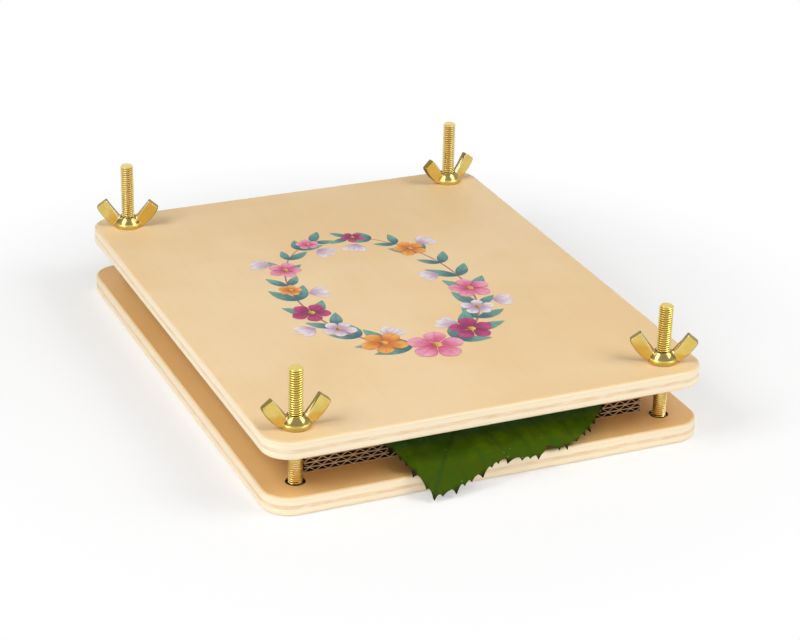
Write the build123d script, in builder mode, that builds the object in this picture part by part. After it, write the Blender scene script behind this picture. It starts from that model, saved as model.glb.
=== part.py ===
# Flower press: two plywood boards drawn together by four bolts and wing nuts
# on a stack of corrugated card and blotting paper, with a leaf between two papers.
# Millimetres, +Z up, front towards -Y, origin at the middle of the bottom board's underside.
import os
from math import acos, atan2, ceil, cos, degrees, floor, radians, sin, sqrt

from build123d import *

# Boards
board_width = 192.0
board_length = 240.0
board_thickness = 8.0
board_corner_radius = 12.0
board_edge_radius = 1.3

# Bolts, measured in from the edges of the boards, full length under a domed head
bolt_inset_side = 15.2
bolt_inset_end = 13.2
front_bolt_length = 53.0
back_bolt_length = 57.5
bolt_tip_chamfer = 0.8
bolt_hole_clearance = 1.05
thread_diameter = 5.9
thread_pitch = 1.0
thread_depth = 0.61
thread_crest = 0.2

# Bolt heads, sunk into the bottom board, and the square necks that stop the bolts turning
head_diameter = 16.0
head_height = 3.9
head_rim = 0.9
head_sink = 0.7
head_clearance = 0.75
neck_width = 6.0
neck_clearance = 0.05
neck_cover = 0.8

# Wing nuts: a flared round boss with two flat wings that rise outwards
nut_bore_clearance = 0.08
boss_height = 5.4
boss_top_wall = 1.4
boss_shoulder = 0.8
boss_flare = 1.0
boss_flare_height = 2.1
boss_rim_bevel = 0.4
boss_rim_height = 0.5
wing_root_wall = 0.6
wing_root_height = 0.9
wing_reach = 9.7
wing_top = 12.4
wing_tip_width = 5.4
wing_belly = 0.8
wing_thickness = 3.3
wing_edge_chamfer = 0.35

# Corrugated card, which passes between the bolts, with its flutes running from front to back
card_bolt_gap = 2.85
card_set_back = 18.0
card_thickness = 2.1
card_liner = 0.25
card_web = 0.5
flute_pitch = 5.3

# Blotting paper, cut a little smaller than the card
paper_margin = 0.5
paper_thickness = 0.425

# Leaf: a round serrate blade with one long tip, which droops over the front of the press
leaf_thickness = 0.4
leaf_middle_x = 12.0
leaf_middle_depth = 30.0
leaf_radius = 50.0
leaf_tip_reach = 19.0
leaf_tip_angle = -127.0
leaf_tip_spread_right = 24.0
leaf_tip_spread_left = 60.0
leaf_tip_sharpness = 1.2
leaf_tooth_count = 60
leaf_tooth_height = 1.3
leaf_great_tooth_height = 3.0
leaf_great_tooth_every = 3
leaf_tooth_lean = 0.7
leaf_droop_start = 1.0
leaf_board_gap = 2.3
leaf_floor_gap = 1.0

# Layers of the stack, from the bottom board up
stack_order = (
    ["card"] * 3 + ["paper"] * 2 + ["leaf"] + ["paper"] * 2
    + ["card"] + ["paper"] * 2 + ["card"] + ["paper"] * 2 + ["card"]
)
layer_thickness = {"card": card_thickness, "paper": paper_thickness, "leaf": leaf_thickness}
stack_height = sum(layer_thickness[layer] for layer in stack_order)
top_board_base = board_thickness + stack_height
top_board_top = top_board_base + board_thickness

# Places and sizes that follow from the ones above
bolt_x = board_width / 2 - bolt_inset_side
bolt_y = board_length / 2 - bolt_inset_end
bolt_hole_radius = thread_diameter / 2 + bolt_hole_clearance
head_seat = head_sink + head_height
neck_length = board_thickness - head_seat - neck_cover
nut_bore_radius = thread_diameter / 2 + nut_bore_clearance
card_width = 2 * (bolt_x - thread_diameter / 2 - card_bolt_gap)
card_length = board_length - 2 * card_set_back
paper_width = card_width - 2 * paper_margin
paper_length = card_length - 2 * paper_margin
leaf_middle_y = leaf_middle_depth - card_length / 2

# Corners of the press: the bolt's place and length, and the wing nut's turn from the X axis in degrees
corners = {
    "front_left": (-bolt_x, -bolt_y, front_bolt_length, -3.0),
    "front_right": (bolt_x, -bolt_y, front_bolt_length, -26.0),
    "back_left": (-bolt_x, bolt_y, back_bolt_length, -22.0),
    "back_right": (bolt_x, bolt_y, back_bolt_length, 11.0),
}
bolt_places = [(x, y) for x, y, length, turn in corners.values()]

os.makedirs("parts", exist_ok=True)


def save(piece, name):
    """Labels a finished piece and writes its file."""
    piece.part.label = name
    export_step(piece.part, f"parts/{name}.step")


def upright(x, y, base, turn=0.0):
    """A plane through a bolt's axis: its x runs out from the axis and its y runs up."""
    angle = radians(turn)
    return Plane(
        origin=(x, y, base),
        x_dir=(cos(angle), sin(angle), 0),
        z_dir=(sin(angle), -cos(angle), 0),
    )


def make_board(base):
    """A board with round corners, softened edges and a hole for each bolt."""
    with BuildPart() as board:
        with BuildSketch(Plane.XY.offset(base)):
            RectangleRounded(board_width, board_length, board_corner_radius)
        extrude(amount=board_thickness)
        flat_faces = board.faces().filter_by(Axis.Z)
        fillet(flat_faces.edges(), board_edge_radius)
        with BuildSketch(Plane.XY.offset(base)):
            with Locations(*bolt_places):
                Circle(bolt_hole_radius)
        extrude(amount=board_thickness, mode=Mode.SUBTRACT)
    return board


def thread_profile(base, tip):
    """Half of the threaded shank's section, with one ring groove to each turn of the thread."""
    crest = thread_diameter / 2
    root = crest - thread_depth
    turns = floor((tip - bolt_tip_chamfer - base) / thread_pitch)
    profile = [(0, base), (crest, base)]
    for turn in range(turns):
        groove = base + turn * thread_pitch
        profile += [
            (crest, groove + thread_crest / 2),
            (root, groove + thread_pitch / 2),
            (crest, groove + thread_pitch - thread_crest / 2),
        ]
    return profile + [
        (crest, tip - bolt_tip_chamfer),
        (crest - bolt_tip_chamfer, tip),
        (0, tip),
    ]


def make_bolt(x, y, length):
    """A bolt with a domed head, a square neck and a threaded shank."""
    dome = head_height - head_rim
    dome_radius = (head_diameter**2 / 4 + dome**2) / (2 * dome)
    dome_half_way = dome_radius - sqrt(dome_radius**2 - head_diameter**2 / 16)
    with BuildPart() as bolt:
        with BuildSketch(upright(x, y, head_sink)):
            with BuildLine():
                ThreePointArc((0, 0), (head_diameter / 4, dome_half_way), (head_diameter / 2, dome))
                Polyline(
                    (head_diameter / 2, dome),
                    (head_diameter / 2, head_height),
                    (0, head_height),
                    (0, 0),
                )
            make_face()
        revolve(axis=Axis((x, y, 0), (0, 0, 1)))
        with BuildSketch(Plane.XY.offset(head_seat)):
            with Locations((x, y)):
                Rectangle(neck_width, neck_width)
        extrude(amount=neck_length)
        with BuildSketch(upright(x, y, head_seat)):
            with BuildLine():
                Polyline(*thread_profile(neck_length, length), close=True)
            make_face()
        revolve(axis=Axis((x, y, 0), (0, 0, 1)))
    return bolt


def make_wing_nut(x, y, turn):
    """A wing nut that stands on the top board, its bore just clear of the thread's crests."""
    place = upright(x, y, top_board_top, turn)
    boss_top_radius = nut_bore_radius + boss_top_wall
    boss_waist_radius = boss_top_radius + boss_shoulder
    boss_base_radius = boss_waist_radius + boss_flare
    boss_foot_radius = boss_base_radius - boss_rim_bevel
    root_inner = (nut_bore_radius + wing_root_wall, boss_height)
    root_outer = (boss_foot_radius, wing_root_height)
    tip_inner = (wing_reach, wing_top)
    rise = atan2(tip_inner[1] - root_inner[1], tip_inner[0] - root_inner[0])
    tip_outer = (
        tip_inner[0] + wing_tip_width * sin(rise),
        tip_inner[1] - wing_tip_width * cos(rise),
    )
    belly = (
        (root_outer[0] + tip_outer[0]) / 2 + wing_belly * sin(rise),
        (root_outer[1] + tip_outer[1]) / 2 - wing_belly * cos(rise),
    )
    with BuildPart() as nut:
        with BuildSketch(place):
            with BuildLine():
                Polyline((0, boss_height), root_inner, tip_inner, tip_outer)
                ThreePointArc(tip_outer, belly, root_outer)
                Polyline(root_outer, (0, wing_root_height), (0, boss_height))
            make_face()
            mirror(about=Plane.YZ)
        extrude(amount=wing_thickness / 2, both=True)
        chamfer(nut.faces().filter_by(place).edges(), wing_edge_chamfer)
        with BuildSketch(place):
            with BuildLine():
                Polyline(
                    (0, 0),
                    (boss_foot_radius, 0),
                    (boss_base_radius, boss_rim_height),
                    (boss_waist_radius, boss_flare_height),
                    (boss_waist_radius, boss_height - boss_shoulder),
                    (boss_top_radius, boss_height),
                    (0, boss_height),
                    close=True,
                )
            make_face()
        revolve(axis=Axis((x, y, 0), (0, 0, 1)))
        with BuildSketch(Plane.XY.offset(top_board_top)):
            with Locations((x, y)):
                Circle(nut_bore_radius)
        extrude(amount=wing_top, mode=Mode.SUBTRACT)
    return nut


def make_card(base):
    """A corrugated sheet: two liners with a zigzag web between them."""
    half_pitch = flute_pitch / 2
    flute_height = card_thickness - 2 * card_liner
    hole_half_width = half_pitch - card_web / 2
    hole_height = flute_height * hole_half_width / half_pitch
    reach = ceil(card_width / flute_pitch)
    with BuildPart() as card:
        with BuildSketch(Plane.XZ):
            with Locations((0, base + card_thickness / 2)):
                Rectangle(card_width, card_thickness)
            for step in range(-reach, reach + 1):
                middle = step * half_pitch
                if step % 2 == 0:
                    foot = base + card_liner
                    peak = foot + hole_height
                else:
                    foot = base + card_thickness - card_liner
                    peak = foot - hole_height
                with BuildLine():
                    Polyline(
                        (middle - hole_half_width, foot),
                        (middle + hole_half_width, foot),
                        (middle, peak),
                        close=True,
                    )
                make_face(mode=Mode.SUBTRACT)
        extrude(amount=card_length / 2, both=True)
    return card


def make_paper(base):
    """A plain sheet of blotting paper."""
    with BuildPart() as paper:
        with BuildSketch(Plane.XY.offset(base)):
            Rectangle(paper_width, paper_length)
        extrude(amount=paper_thickness)
    return paper


def leaf_edge(angle):
    """How far the blade reaches from the leaf's middle, without its teeth, at an angle in degrees."""
    turn = (angle - leaf_tip_angle + 180) % 360 - 180
    spread = leaf_tip_spread_right if turn > 0 else leaf_tip_spread_left
    return leaf_radius + leaf_tip_reach * max(0, 1 - abs(turn) / spread) ** leaf_tip_sharpness


def leaf_outline():
    """The blade's saw-toothed outline in plan, two points to a tooth."""
    points = []
    tooth_angle = 360 / leaf_tooth_count
    for tooth in range(leaf_tooth_count):
        height = leaf_great_tooth_height if tooth % leaf_great_tooth_every == 0 else leaf_tooth_height
        notch = leaf_tip_angle + (tooth - leaf_tooth_lean) * tooth_angle
        point = leaf_tip_angle + tooth * tooth_angle
        for angle, reach in ((notch, leaf_edge(notch)), (point, leaf_edge(point) + height)):
            across = leaf_middle_x + reach * cos(radians(angle))
            along = leaf_middle_y + reach * sin(radians(angle))
            points.append((across, along))
    return points


def make_leaf(base):
    """A leaf that lies flat among the papers and bends down over the bottom board's front edge."""
    size = leaf_radius + leaf_tip_reach + leaf_great_tooth_height
    bend_y = -card_length / 2 - leaf_droop_start
    back_y = leaf_middle_y + size
    run_to_edge = card_set_back - leaf_droop_start
    drop_to_edge = base - board_thickness - leaf_board_gap
    under_radius = (run_to_edge**2 + drop_to_edge**2) / (2 * drop_to_edge)
    drop_to_floor = min(base - leaf_floor_gap, under_radius)
    hang_angle = degrees(acos(1 - drop_to_floor / under_radius))
    bend_centre = (bend_y, base - under_radius)
    with BuildPart() as leaf:
        with BuildSketch(Plane.YZ):
            with BuildLine():
                over = CenterArc(bend_centre, under_radius + leaf_thickness, 90, hang_angle)
                under = CenterArc(bend_centre, under_radius, 90, hang_angle)
                Line(over @ 1, under @ 1)
                Polyline(over @ 0, (back_y, base + leaf_thickness), (back_y, base), under @ 0)
            make_face()
        extrude(amount=size + abs(leaf_middle_x), both=True)
        with BuildSketch(Plane.XY.offset(base + leaf_thickness)):
            with BuildLine():
                Polyline(*leaf_outline(), close=True)
            make_face()
        extrude(amount=-size, mode=Mode.INTERSECT)
    return leaf


# Bottom board, with a round seat for each bolt head and a square notch for each neck
bottom_blank = make_board(0)
with BuildPart() as bottom_board:
    add(bottom_blank.part)
    with BuildSketch():
        with Locations(*bolt_places):
            Circle(head_diameter / 2 + head_clearance)
    extrude(amount=head_seat, mode=Mode.SUBTRACT)
    with BuildSketch(Plane.XY.offset(head_seat)):
        with Locations(*bolt_places):
            Rectangle(neck_width + 2 * neck_clearance, neck_width + 2 * neck_clearance)
    extrude(amount=neck_length + neck_clearance, mode=Mode.SUBTRACT)
save(bottom_board, "bottom_board")

# Top board
top_board = make_board(top_board_base)
save(top_board, "top_board")

# Bolts and wing nuts
for corner, (x, y, length, turn) in corners.items():
    save(make_bolt(x, y, length), f"bolt_{corner}")
    save(make_wing_nut(x, y, turn), f"wing_nut_{corner}")

# Card, paper and leaf, laid one on the other
makers = {"card": make_card, "paper": make_paper, "leaf": make_leaf}
names = {"card": "corrugated_sheet", "paper": "blotting_paper", "leaf": "leaf_specimen"}
laid = {"card": 0, "paper": 0, "leaf": 0}
layer_base = board_thickness
for layer in stack_order:
    laid[layer] += 1
    number = "" if stack_order.count(layer) == 1 else f"_{laid[layer]}"
    save(makers[layer](layer_base), names[layer] + number)
    layer_base += layer_thickness[layer]
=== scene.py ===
"""Flower press: plywood boards, bolts and wing nuts, card, blotting paper, a leaf and a printed wreath.

The file is laid out as an add-on and run as a script. Lengths are in metres, and the front is towards -Y.
"""
import random
from bisect import bisect_left
from contextlib import contextmanager
from math import asin, atan2, ceil, cos, exp, hypot, pi, radians, sin, sqrt

import bmesh
import bpy
from bpy.props import FloatProperty, FloatVectorProperty, IntProperty, PointerProperty
from mathutils import Matrix, Vector, noise


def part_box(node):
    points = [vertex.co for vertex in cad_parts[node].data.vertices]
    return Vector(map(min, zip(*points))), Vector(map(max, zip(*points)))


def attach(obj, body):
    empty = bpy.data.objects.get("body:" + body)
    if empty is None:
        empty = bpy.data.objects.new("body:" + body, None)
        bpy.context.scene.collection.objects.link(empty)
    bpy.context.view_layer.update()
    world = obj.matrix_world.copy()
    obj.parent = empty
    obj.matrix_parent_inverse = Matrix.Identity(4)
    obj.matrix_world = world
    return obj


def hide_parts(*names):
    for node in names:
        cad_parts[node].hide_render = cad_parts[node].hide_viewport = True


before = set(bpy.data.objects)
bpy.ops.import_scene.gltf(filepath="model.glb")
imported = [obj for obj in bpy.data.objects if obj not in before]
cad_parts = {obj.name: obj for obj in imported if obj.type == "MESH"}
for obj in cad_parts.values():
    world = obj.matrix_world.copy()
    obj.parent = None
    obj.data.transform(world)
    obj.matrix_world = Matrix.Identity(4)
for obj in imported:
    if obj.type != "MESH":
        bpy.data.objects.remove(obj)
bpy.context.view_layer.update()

bl_info = {
    "name": "Flower press",
    "version": (1, 0, 0),
    "blender": (4, 5, 0),
    "location": "3D View > Sidebar > Flower press",
    "description": "Dresses the pieces of a flower press and sets a studio round it",
    "category": "Object",
}

MM = 0.001
# Small distances: slack of a cut, weld of vertices, tests of place, room past a size, blur between finishes
CUT_SLACK = 0.0001 * MM
WELD = 0.001 * MM
NEAR = 0.01 * MM
ROOM = 0.1 * MM
BLUR = 0.5 * MM
TURN = 2 * pi
CORNERS = ("front_left", "front_right", "back_left", "back_right")
CARDS = sorted(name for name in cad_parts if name.startswith("corrugated_sheet"))
PAPERS = sorted(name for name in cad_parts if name.startswith("blotting_paper"))
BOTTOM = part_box("bottom_board")
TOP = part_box("top_board")
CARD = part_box(CARDS[0])
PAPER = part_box(PAPERS[0])
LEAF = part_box("leaf_specimen")
PAPER_UNDER_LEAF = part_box(PAPERS[1])[1].z
BOLT = {corner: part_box(f"bolt_{corner}") for corner in CORNERS}


# Settings


def length(name, description, millimetres):
    """A length setting, given in millimetres."""
    return FloatProperty(
        name=name, description=description, default=millimetres * MM, unit="LENGTH", precision=5,
    )


def angle(name, description, degree):
    """An angle setting, given in degrees."""
    return FloatProperty(name=name, description=description, default=radians(degree), subtype="ANGLE")


def share(name, description, part):
    """A share from 0 to 1."""
    return FloatProperty(name=name, description=description, default=part, min=0, max=1, subtype="FACTOR")


def power(name, description, watts):
    """The power of a light, given in watts."""
    return FloatProperty(name=name, description=description, default=watts, min=0, unit="POWER")


def count(name, description, number):
    """A whole number setting."""
    return IntProperty(name=name, description=description, default=number, min=1)


def colour(name, description, red, green, blue):
    """A colour setting, given as it looks on screen, each part from 0 to 255."""
    def linear(part):
        part /= 255
        return part / 12.92 if part <= 0.04045 else ((part + 0.055) / 1.055) ** 2.4
    return FloatVectorProperty(
        name=name, description=description, subtype="COLOR", size=3, min=0, max=1,
        default=(linear(red), linear(green), linear(blue)),
    )


class PressBoards(bpy.types.PropertyGroup):
    """Sizes and colours of the two plywood boards."""

    corner_radius: length("Corner radius", "Round of the boards' corners in plan", 12)
    edge_radius: length("Edge radius", "Round of the boards' rims", 1.3)
    hole: length("Bolt hole", "Diameter of the holes for the bolts", 8)
    hole_rim: length("Hole rim", "Softening of the holes' rims", 0.2)
    seat: length("Head seat", "Diameter of the seats for the bolt heads", 17.5)
    seat_depth: length("Seat depth", "Depth of the seats under the bottom board", 4.6)
    notch: length("Neck notch", "Width of the square notches for the bolts' necks", 6.1)
    notch_depth: length("Notch depth", "Height of the square notches above the seats", 2.65)
    face: colour("Face", "Sealed birch face", 243, 212, 164)
    face_warm: colour("Face, warm", "Warmer patches of the face", 236, 198, 143)
    grain: colour("Grain", "Fine grain lines of the face", 214, 172, 120)
    ply_pale: colour("Pale plies", "Plies cut along the grain", 255, 238, 206)
    ply_tan: colour("Tan plies", "Plies cut across the grain", 240, 207, 165)
    glue: colour("Glue lines", "Dark lines between the plies", 238, 206, 160)
    # Painted shade: a warm, darker tint on the faces that look at each other, in place of the shade and warm
    # bounce light between the two boards.
    inner: colour("Inner faces", "Warm tint of the faces that look at each other", 250, 236, 206)
    # Painted shade: a dark brown on the walls of the holes and seats, in place of the shadow inside them.
    drilled: colour("Holes", "Scorched walls of the drilled holes", 96, 58, 28)


class PressHardware(bpy.types.PropertyGroup):
    """Sizes and colours of the bolts and wing nuts."""

    thread: length("Thread", "Diameter over the thread's crests", 5.9)
    pitch: length("Pitch", "Rise of the thread in one turn", 1.0)
    thread_depth: length("Thread depth", "Depth of the thread's groove", 0.58)
    tip_chamfer: length("Tip chamfer", "Chamfer at the bolts' tips", 0.55)
    head_height: length("Head height", "Height of the domed heads", 3.9)
    head_rim: length("Head rim", "Height of the heads' straight rims", 0.9)
    neck: length("Neck", "Width of the square necks", 6.0)
    neck_length: length("Neck length", "Height of the square necks", 2.6)
    bore: length("Nut bore", "Diameter of the nuts' bores", 6.06)
    bore_chamfer: length("Bore chamfer", "Chamfer at the ends of the bores", 0.3)
    boss_foot: length("Boss foot", "Diameter of the nuts where they stand on the board", 12.1)
    boss_flange: length("Boss flange", "Diameter of the nuts' flared lower rims", 12.46)
    boss_lip: length("Boss lip", "Height of the flared lower rims", 2.0)
    boss_waist: length("Boss waist", "Diameter of the nuts above their rims", 11.5)
    boss_crown: length("Boss crown", "Diameter of the nuts' flat tops", 7.0)
    boss_bulge: length("Boss bulge", "Bulge of the bosses between waist and crown", 0.2)
    boss_height: length("Boss height", "Height of the round bosses", 5.0)
    wing_reach: length("Wing reach", "From the axis to the wings' upper corners", 9.75)
    wing_top: length("Wing top", "Height of the wings' upper corners", 12.9)
    wing_width: length("Wing width", "Width of the wings at their ends", 5.65)
    wing_belly: length("Wing belly", "Bulge of the wings' lower edges", 0.95)
    wing_root: length("Wing root", "Height of the wings' lower edges at the boss", 0.2)
    wing_thickness: length("Wing thickness", "Thickness of the wings", 3.3)
    wing_edge: length("Wing edge", "Softening of the wings' lower and outer edges", 0.55)
    wing_corner: length("Wing corner", "Round of the wings' corners, seen from the side", 0.7)
    wing_chamfer: length("Wing chamfer", "Chamfer along the wings' inner edges", 1.1)
    cast_grain: length("Cast grain", "Fineness of the nuts' softened surface", 0.17)
    # Painted light: how far each row of bolts is painted paler above the boards, and all bolts between them.
    front_wear: share("Front wear", "Bright wear of the front bolts above the boards", 0.0)
    back_wear: share("Back wear", "Bright wear of the back bolts above the boards", 0.2)
    low_wear: share("Low wear", "Bright wear of all bolts between the boards", 0.35)
    # Painted shade: how dark the thread's groove is painted from the top board up, and between the boards.
    high_groove: share("High grooves", "Dullness of the thread's groove from the top board up", 0.5)
    low_groove: share("Low grooves", "Dullness of the thread's groove between the boards", 0.1)
    turn_front_left: angle("Front left turn", "Turn of the front left nut's wings", -3)
    turn_front_right: angle("Front right turn", "Turn of the front right nut's wings", -26)
    turn_back_left: angle("Back left turn", "Turn of the back left nut's wings", -22)
    turn_back_right: angle("Back right turn", "Turn of the back right nut's wings", 11)
    gold: colour("Plating", "Bright yellow plating", 229, 203, 116)
    gold_warm: colour("Plating, warm", "Warmer bloom on the plating", 216, 184, 92)
    # Painted shade and painted dark reflection: the dark colour that grooves, domes and narrow edges are
    # painted towards.
    gold_dark: colour("Plating, dark", "Dulled plating of grooves and narrow edges", 96, 80, 12)
    # Painted highlight and painted light: the pale colour of the nuts' chamfers and of the paler shanks.
    gold_worn: colour("Plating, worn", "Chamfers that fingers keep bright", 255, 246, 208)


class PressStack(bpy.types.PropertyGroup):
    """Sizes and colours of the card and paper between the boards."""

    liner: length("Liner", "Thickness of the card's flat faces", 0.18)
    flute_wall: length("Flute wall", "Thickness of the card's wavy sheet", 0.24)
    flute_pitch: length("Flute pitch", "From one wave of the card to the next", 5.3)
    fray: length("Fray", "Unevenness of the cut ends", 0.22)
    paper_gap: length("Paper gap", "Air left above each paper", 0.05)
    kraft: colour("Card", "Brown card", 222, 188, 148)
    kraft_dark: colour("Card, dark", "Darker fibres of the card", 178, 144, 108)
    flute_shade: colour("Flute shade", "Shaded brown inside the card", 46, 28, 14)
    blotting: colour("Blotting paper", "Off-white blotting paper", 232, 228, 215)
    blotting_dark: colour("Blotting paper, dark", "Greyer fibres of the paper", 205, 199, 182)


class PressLeaf(bpy.types.PropertyGroup):
    """Sizes and colours of the leaf."""

    middle_x: length("Middle across", "The blade's middle, across the press", 13.5)
    middle_depth: length("Middle depth", "The blade's middle, behind the card's front edge", 30)
    radius: length("Radius", "Radius of the round part of the blade", 52.5)
    tip_reach: length("Tip reach", "How far the tip stands out of the round part", 19.5)
    tip_angle: angle("Tip angle", "Direction of the tip from the blade's middle", -128)
    tip_right: angle("Tip spread, right", "Width of the tip on its right", 26)
    tip_left: angle("Tip spread, left", "Width of the tip on its left", 62)
    tooth_count: count("Teeth", "Teeth round the blade", 78)
    tooth_height: length("Tooth height", "Height of the small teeth", 1.2)
    great_tooth_height: length("Great tooth height", "Height of the great teeth", 2.0)
    great_tooth_every: count("Great tooth every", "How many teeth on the next great one is", 3)
    tooth_hook: length("Tooth hook", "How far the teeth lean towards the tip", 0.9)
    hook_start: length("Hook start", "From the tip to where the teeth lean fully", 4)
    tip_calm: length("Tip calm", "From the tip to where the teeth are at their full height", 34)
    stalk_calm: length("Stalk calm", "From the stalk to where the teeth are at their full height", 20)
    notch_angle: angle("Notch angle", "Direction of the one deep notch", -79)
    notch_depth: length("Notch depth", "Depth of the one deep notch", 2.2)
    notch_width: angle("Notch width", "Spread of the one deep notch", 2.2)
    hollow_depth: length("Hollow depth", "Depth of the shallow hollow round the notch", 1.7)
    hollow_width: angle("Hollow width", "Spread of the shallow hollow round the notch", 10)
    bay_angle: angle("Bay angle", "Direction of the wide shallow bay between notch and tip", -97)
    bay_depth: length("Bay depth", "Depth of the wide shallow bay", 2.1)
    bay_width: angle("Bay width", "Spread of the wide shallow bay", 11)
    droop_start: length("Droop start", "From the card's front edge to where the blade bends down", 1.0)
    # Painted shade: this reach also sets how far the tip's painted shade spreads.
    droop_reach: length("Droop reach", "From the bend to where the tip's green is deepest", 26)
    ripple_height: length("Ripple height", "Height of the blade's slight waves", 0.7)
    ripple_size: length("Ripple size", "Size of the blade's slight waves", 26)
    ripple_start: length("Ripple start", "From the bend to where the waves are at their full height", 12)
    board_gap: length("Board gap", "From the bottom board's rim up to the blade", 2.3)
    thickness: length("Thickness", "Thickness of the blade", 0.3)
    vein_height: length("Vein height", "Depth of the veins in the blade", 0.16)
    vein_count: count("Veins", "Side veins on each half of the blade", 8)
    vein_width: length("Vein width", "Half width of the side veins", 0.8)
    midrib_width: length("Midrib width", "Half width of the midrib", 1.0)
    green: colour("Blade", "Green of the blade", 98, 126, 10)
    green_dark: colour("Blade, dark", "Darker patches of the blade", 70, 100, 14)
    # Painted shade: a deep green on the drooping tip, which faces the light, and a cooler green at the fold
    # under the top board.
    green_tip: colour("Blade, tip", "Deep green of the drooping tip", 66, 84, 0)
    green_fold: colour("Blade, fold", "Cooler green where the blade leaves the stack", 62, 112, 66)
    green_cool: colour("Blade, mottles", "Cooler mottles all over the blade", 50, 86, 8)
    vein: colour("Veins", "Cooler, darker green along the veins", 42, 74, 30)
    margin: colour("Margin", "Dark brown of the teeth", 38, 26, 12)
    speck: colour("Specks", "Tiny pale specks", 132, 152, 112)


class PressPrint(bpy.types.PropertyGroup):
    """Sizes and colours of the wreath printed on the top board."""

    half_width: length("Half width", "Half width of the wreath's oval", 38)
    half_length: length("Half length", "Half length of the wreath's oval", 60)
    gap: angle("Gap", "Half of the opening at the back of the wreath", 13)
    film: length("Ink film", "Thickness of one printed layer", 0.01)
    stem_width: length("Stem width", "Width of the printed stems", 1.4)
    leaf_pairs: count("Leaf pairs", "Pairs of leaves on each stem", 11)
    leaf_length: length("Leaf length", "Length of the printed leaves", 19)
    bud_count: count("Buds", "Buds on each stem", 5)
    bud_stalk: length("Bud stalk", "From the stem to the feet of the buds", 7)
    petal_length: length("Petal length", "Length of the largest petals", 11.5)
    stem: colour("Stems", "Rosy brown of the stems", 168, 120, 112)
    leaf_heart: colour("Leaves, heart", "Deep teal at the foot of the leaves", 44, 96, 104)
    leaf_tip: colour("Leaves, tip", "Pale teal at the tip of the leaves", 118, 168, 152)
    rose_heart: colour("Rose blossom, heart", "Heart of the rose blossoms", 208, 72, 122)
    rose_tip: colour("Rose blossom, tip", "Petal tips of the rose blossoms", 242, 172, 190)
    plum_heart: colour("Plum blossom, heart", "Heart of the plum blossoms", 128, 20, 72)
    plum_tip: colour("Plum blossom, tip", "Petal tips of the plum blossoms", 196, 62, 124)
    amber_heart: colour("Amber blossom, heart", "Heart of the amber blossoms", 206, 104, 24)
    amber_tip: colour("Amber blossom, tip", "Petal tips of the amber blossoms", 244, 178, 84)
    lilac_heart: colour("Lilac buds, heart", "Foot of the lilac buds", 184, 150, 178)
    lilac_tip: colour("Lilac buds, tip", "Tip of the lilac buds", 244, 232, 230)
    eye_heart: colour("Blossom eyes, heart", "Middle of the blossoms' eyes", 150, 84, 30)
    eye_tip: colour("Blossom eyes, rim", "Rim of the blossoms' eyes", 240, 196, 96)


class PressStage(bpy.types.PropertyGroup):
    """The camera, the floor and the lights."""

    camera_place: FloatVectorProperty(
        name="Camera place", description="Where the camera stands", subtype="TRANSLATION",
        default=(-0.376454, -0.866578, 0.456344), precision=5,
    )
    azimuth: angle("Azimuth", "Turn of the camera about the press, from its front", -24.024)
    elevation: angle("Elevation", "Angle of the camera above the horizon", 24.898)
    roll: angle("Roll", "Tilt of the camera about its line of sight", 1.446)
    lens: FloatProperty(name="Lens", description="Focal length on the sensor", default=106.88, unit="CAMERA")
    sensor: FloatProperty(name="Sensor", description="Width of the sensor", default=36, unit="CAMERA")
    floor_size: length("Floor size", "Width of the floor", 6000)
    floor_near: length("Near floor", "Radius inside which the floor keeps the shadow", 135)
    floor_far: length("Far floor", "Radius past which the floor is as white as the backdrop", 250)
    floor_lift: share("Floor lift", "Share of the backdrop's white in the near floor", 0.42)
    sky: share("Sky", "Strength of the even light from all sides", 0.12)
    left_power: power("Left light", "Power of the left light", 3.5)
    right_power: power("Right light", "Power of the right light", 3.1)
    top_power: power("Top light", "Power of the light overhead", 0.8)
    front_power: power("Front light", "Power of the low front light", 4.0)
    floor: colour("Floor", "Pale floor", 253, 253, 253)


class PressSettings(bpy.types.PropertyGroup):
    """All the settings of the press, one group to each kind of piece."""

    boards: PointerProperty(type=PressBoards)
    hardware: PointerProperty(type=PressHardware)
    stack: PointerProperty(type=PressStack)
    leaf: PointerProperty(type=PressLeaf)
    wreath: PointerProperty(type=PressPrint)
    stage: PointerProperty(type=PressStage)


# Modelling steps that every piece uses


def pick(piece):
    """Selects one object alone and makes it the active one."""
    bpy.ops.object.select_all(action="DESELECT")
    piece.select_set(True)
    bpy.context.view_layer.objects.active = piece


def name_piece(piece, name):
    """Names an object and its mesh."""
    piece.name = name
    piece.data.name = name


def add(name, primitive, scale=(1, 1, 1), **options):
    """Adds a primitive with its place and scale in its mesh."""
    bpy.ops.object.select_all(action="DESELECT")
    primitive(**options)
    piece = bpy.context.active_object
    name_piece(piece, name)
    piece.scale = scale
    bpy.ops.object.transform_apply(location=True, rotation=True, scale=True)
    return piece


def grid(name, columns, rows, width=1, depth=1, place=(0, 0, 0)):
    """A flat grid of so many columns and rows of faces, about a place."""
    return add(name, bpy.ops.mesh.primitive_grid_add, (width, depth, 1), size=1, location=place,
               x_subdivisions=columns, y_subdivisions=rows)


@contextmanager
def editing(piece):
    """Edit mode on one piece."""
    pick(piece)
    bpy.ops.object.mode_set(mode="EDIT")
    yield
    bpy.ops.object.mode_set(mode="OBJECT")


def choose(piece, kind, test):
    """In edit mode, selects the vertices, edges or faces that pass a test, and no others."""
    bpy.ops.mesh.select_mode(type=kind)
    bpy.ops.mesh.select_all(action="DESELECT")
    mesh = bmesh.from_edit_mesh(piece.data)
    elements = {"VERT": mesh.verts, "EDGE": mesh.edges, "FACE": mesh.faces}[kind]
    for element in elements:
        if test(element):
            element.select_set(True)
    mesh.select_flush_mode()
    bmesh.update_edit_mesh(piece.data)


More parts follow.
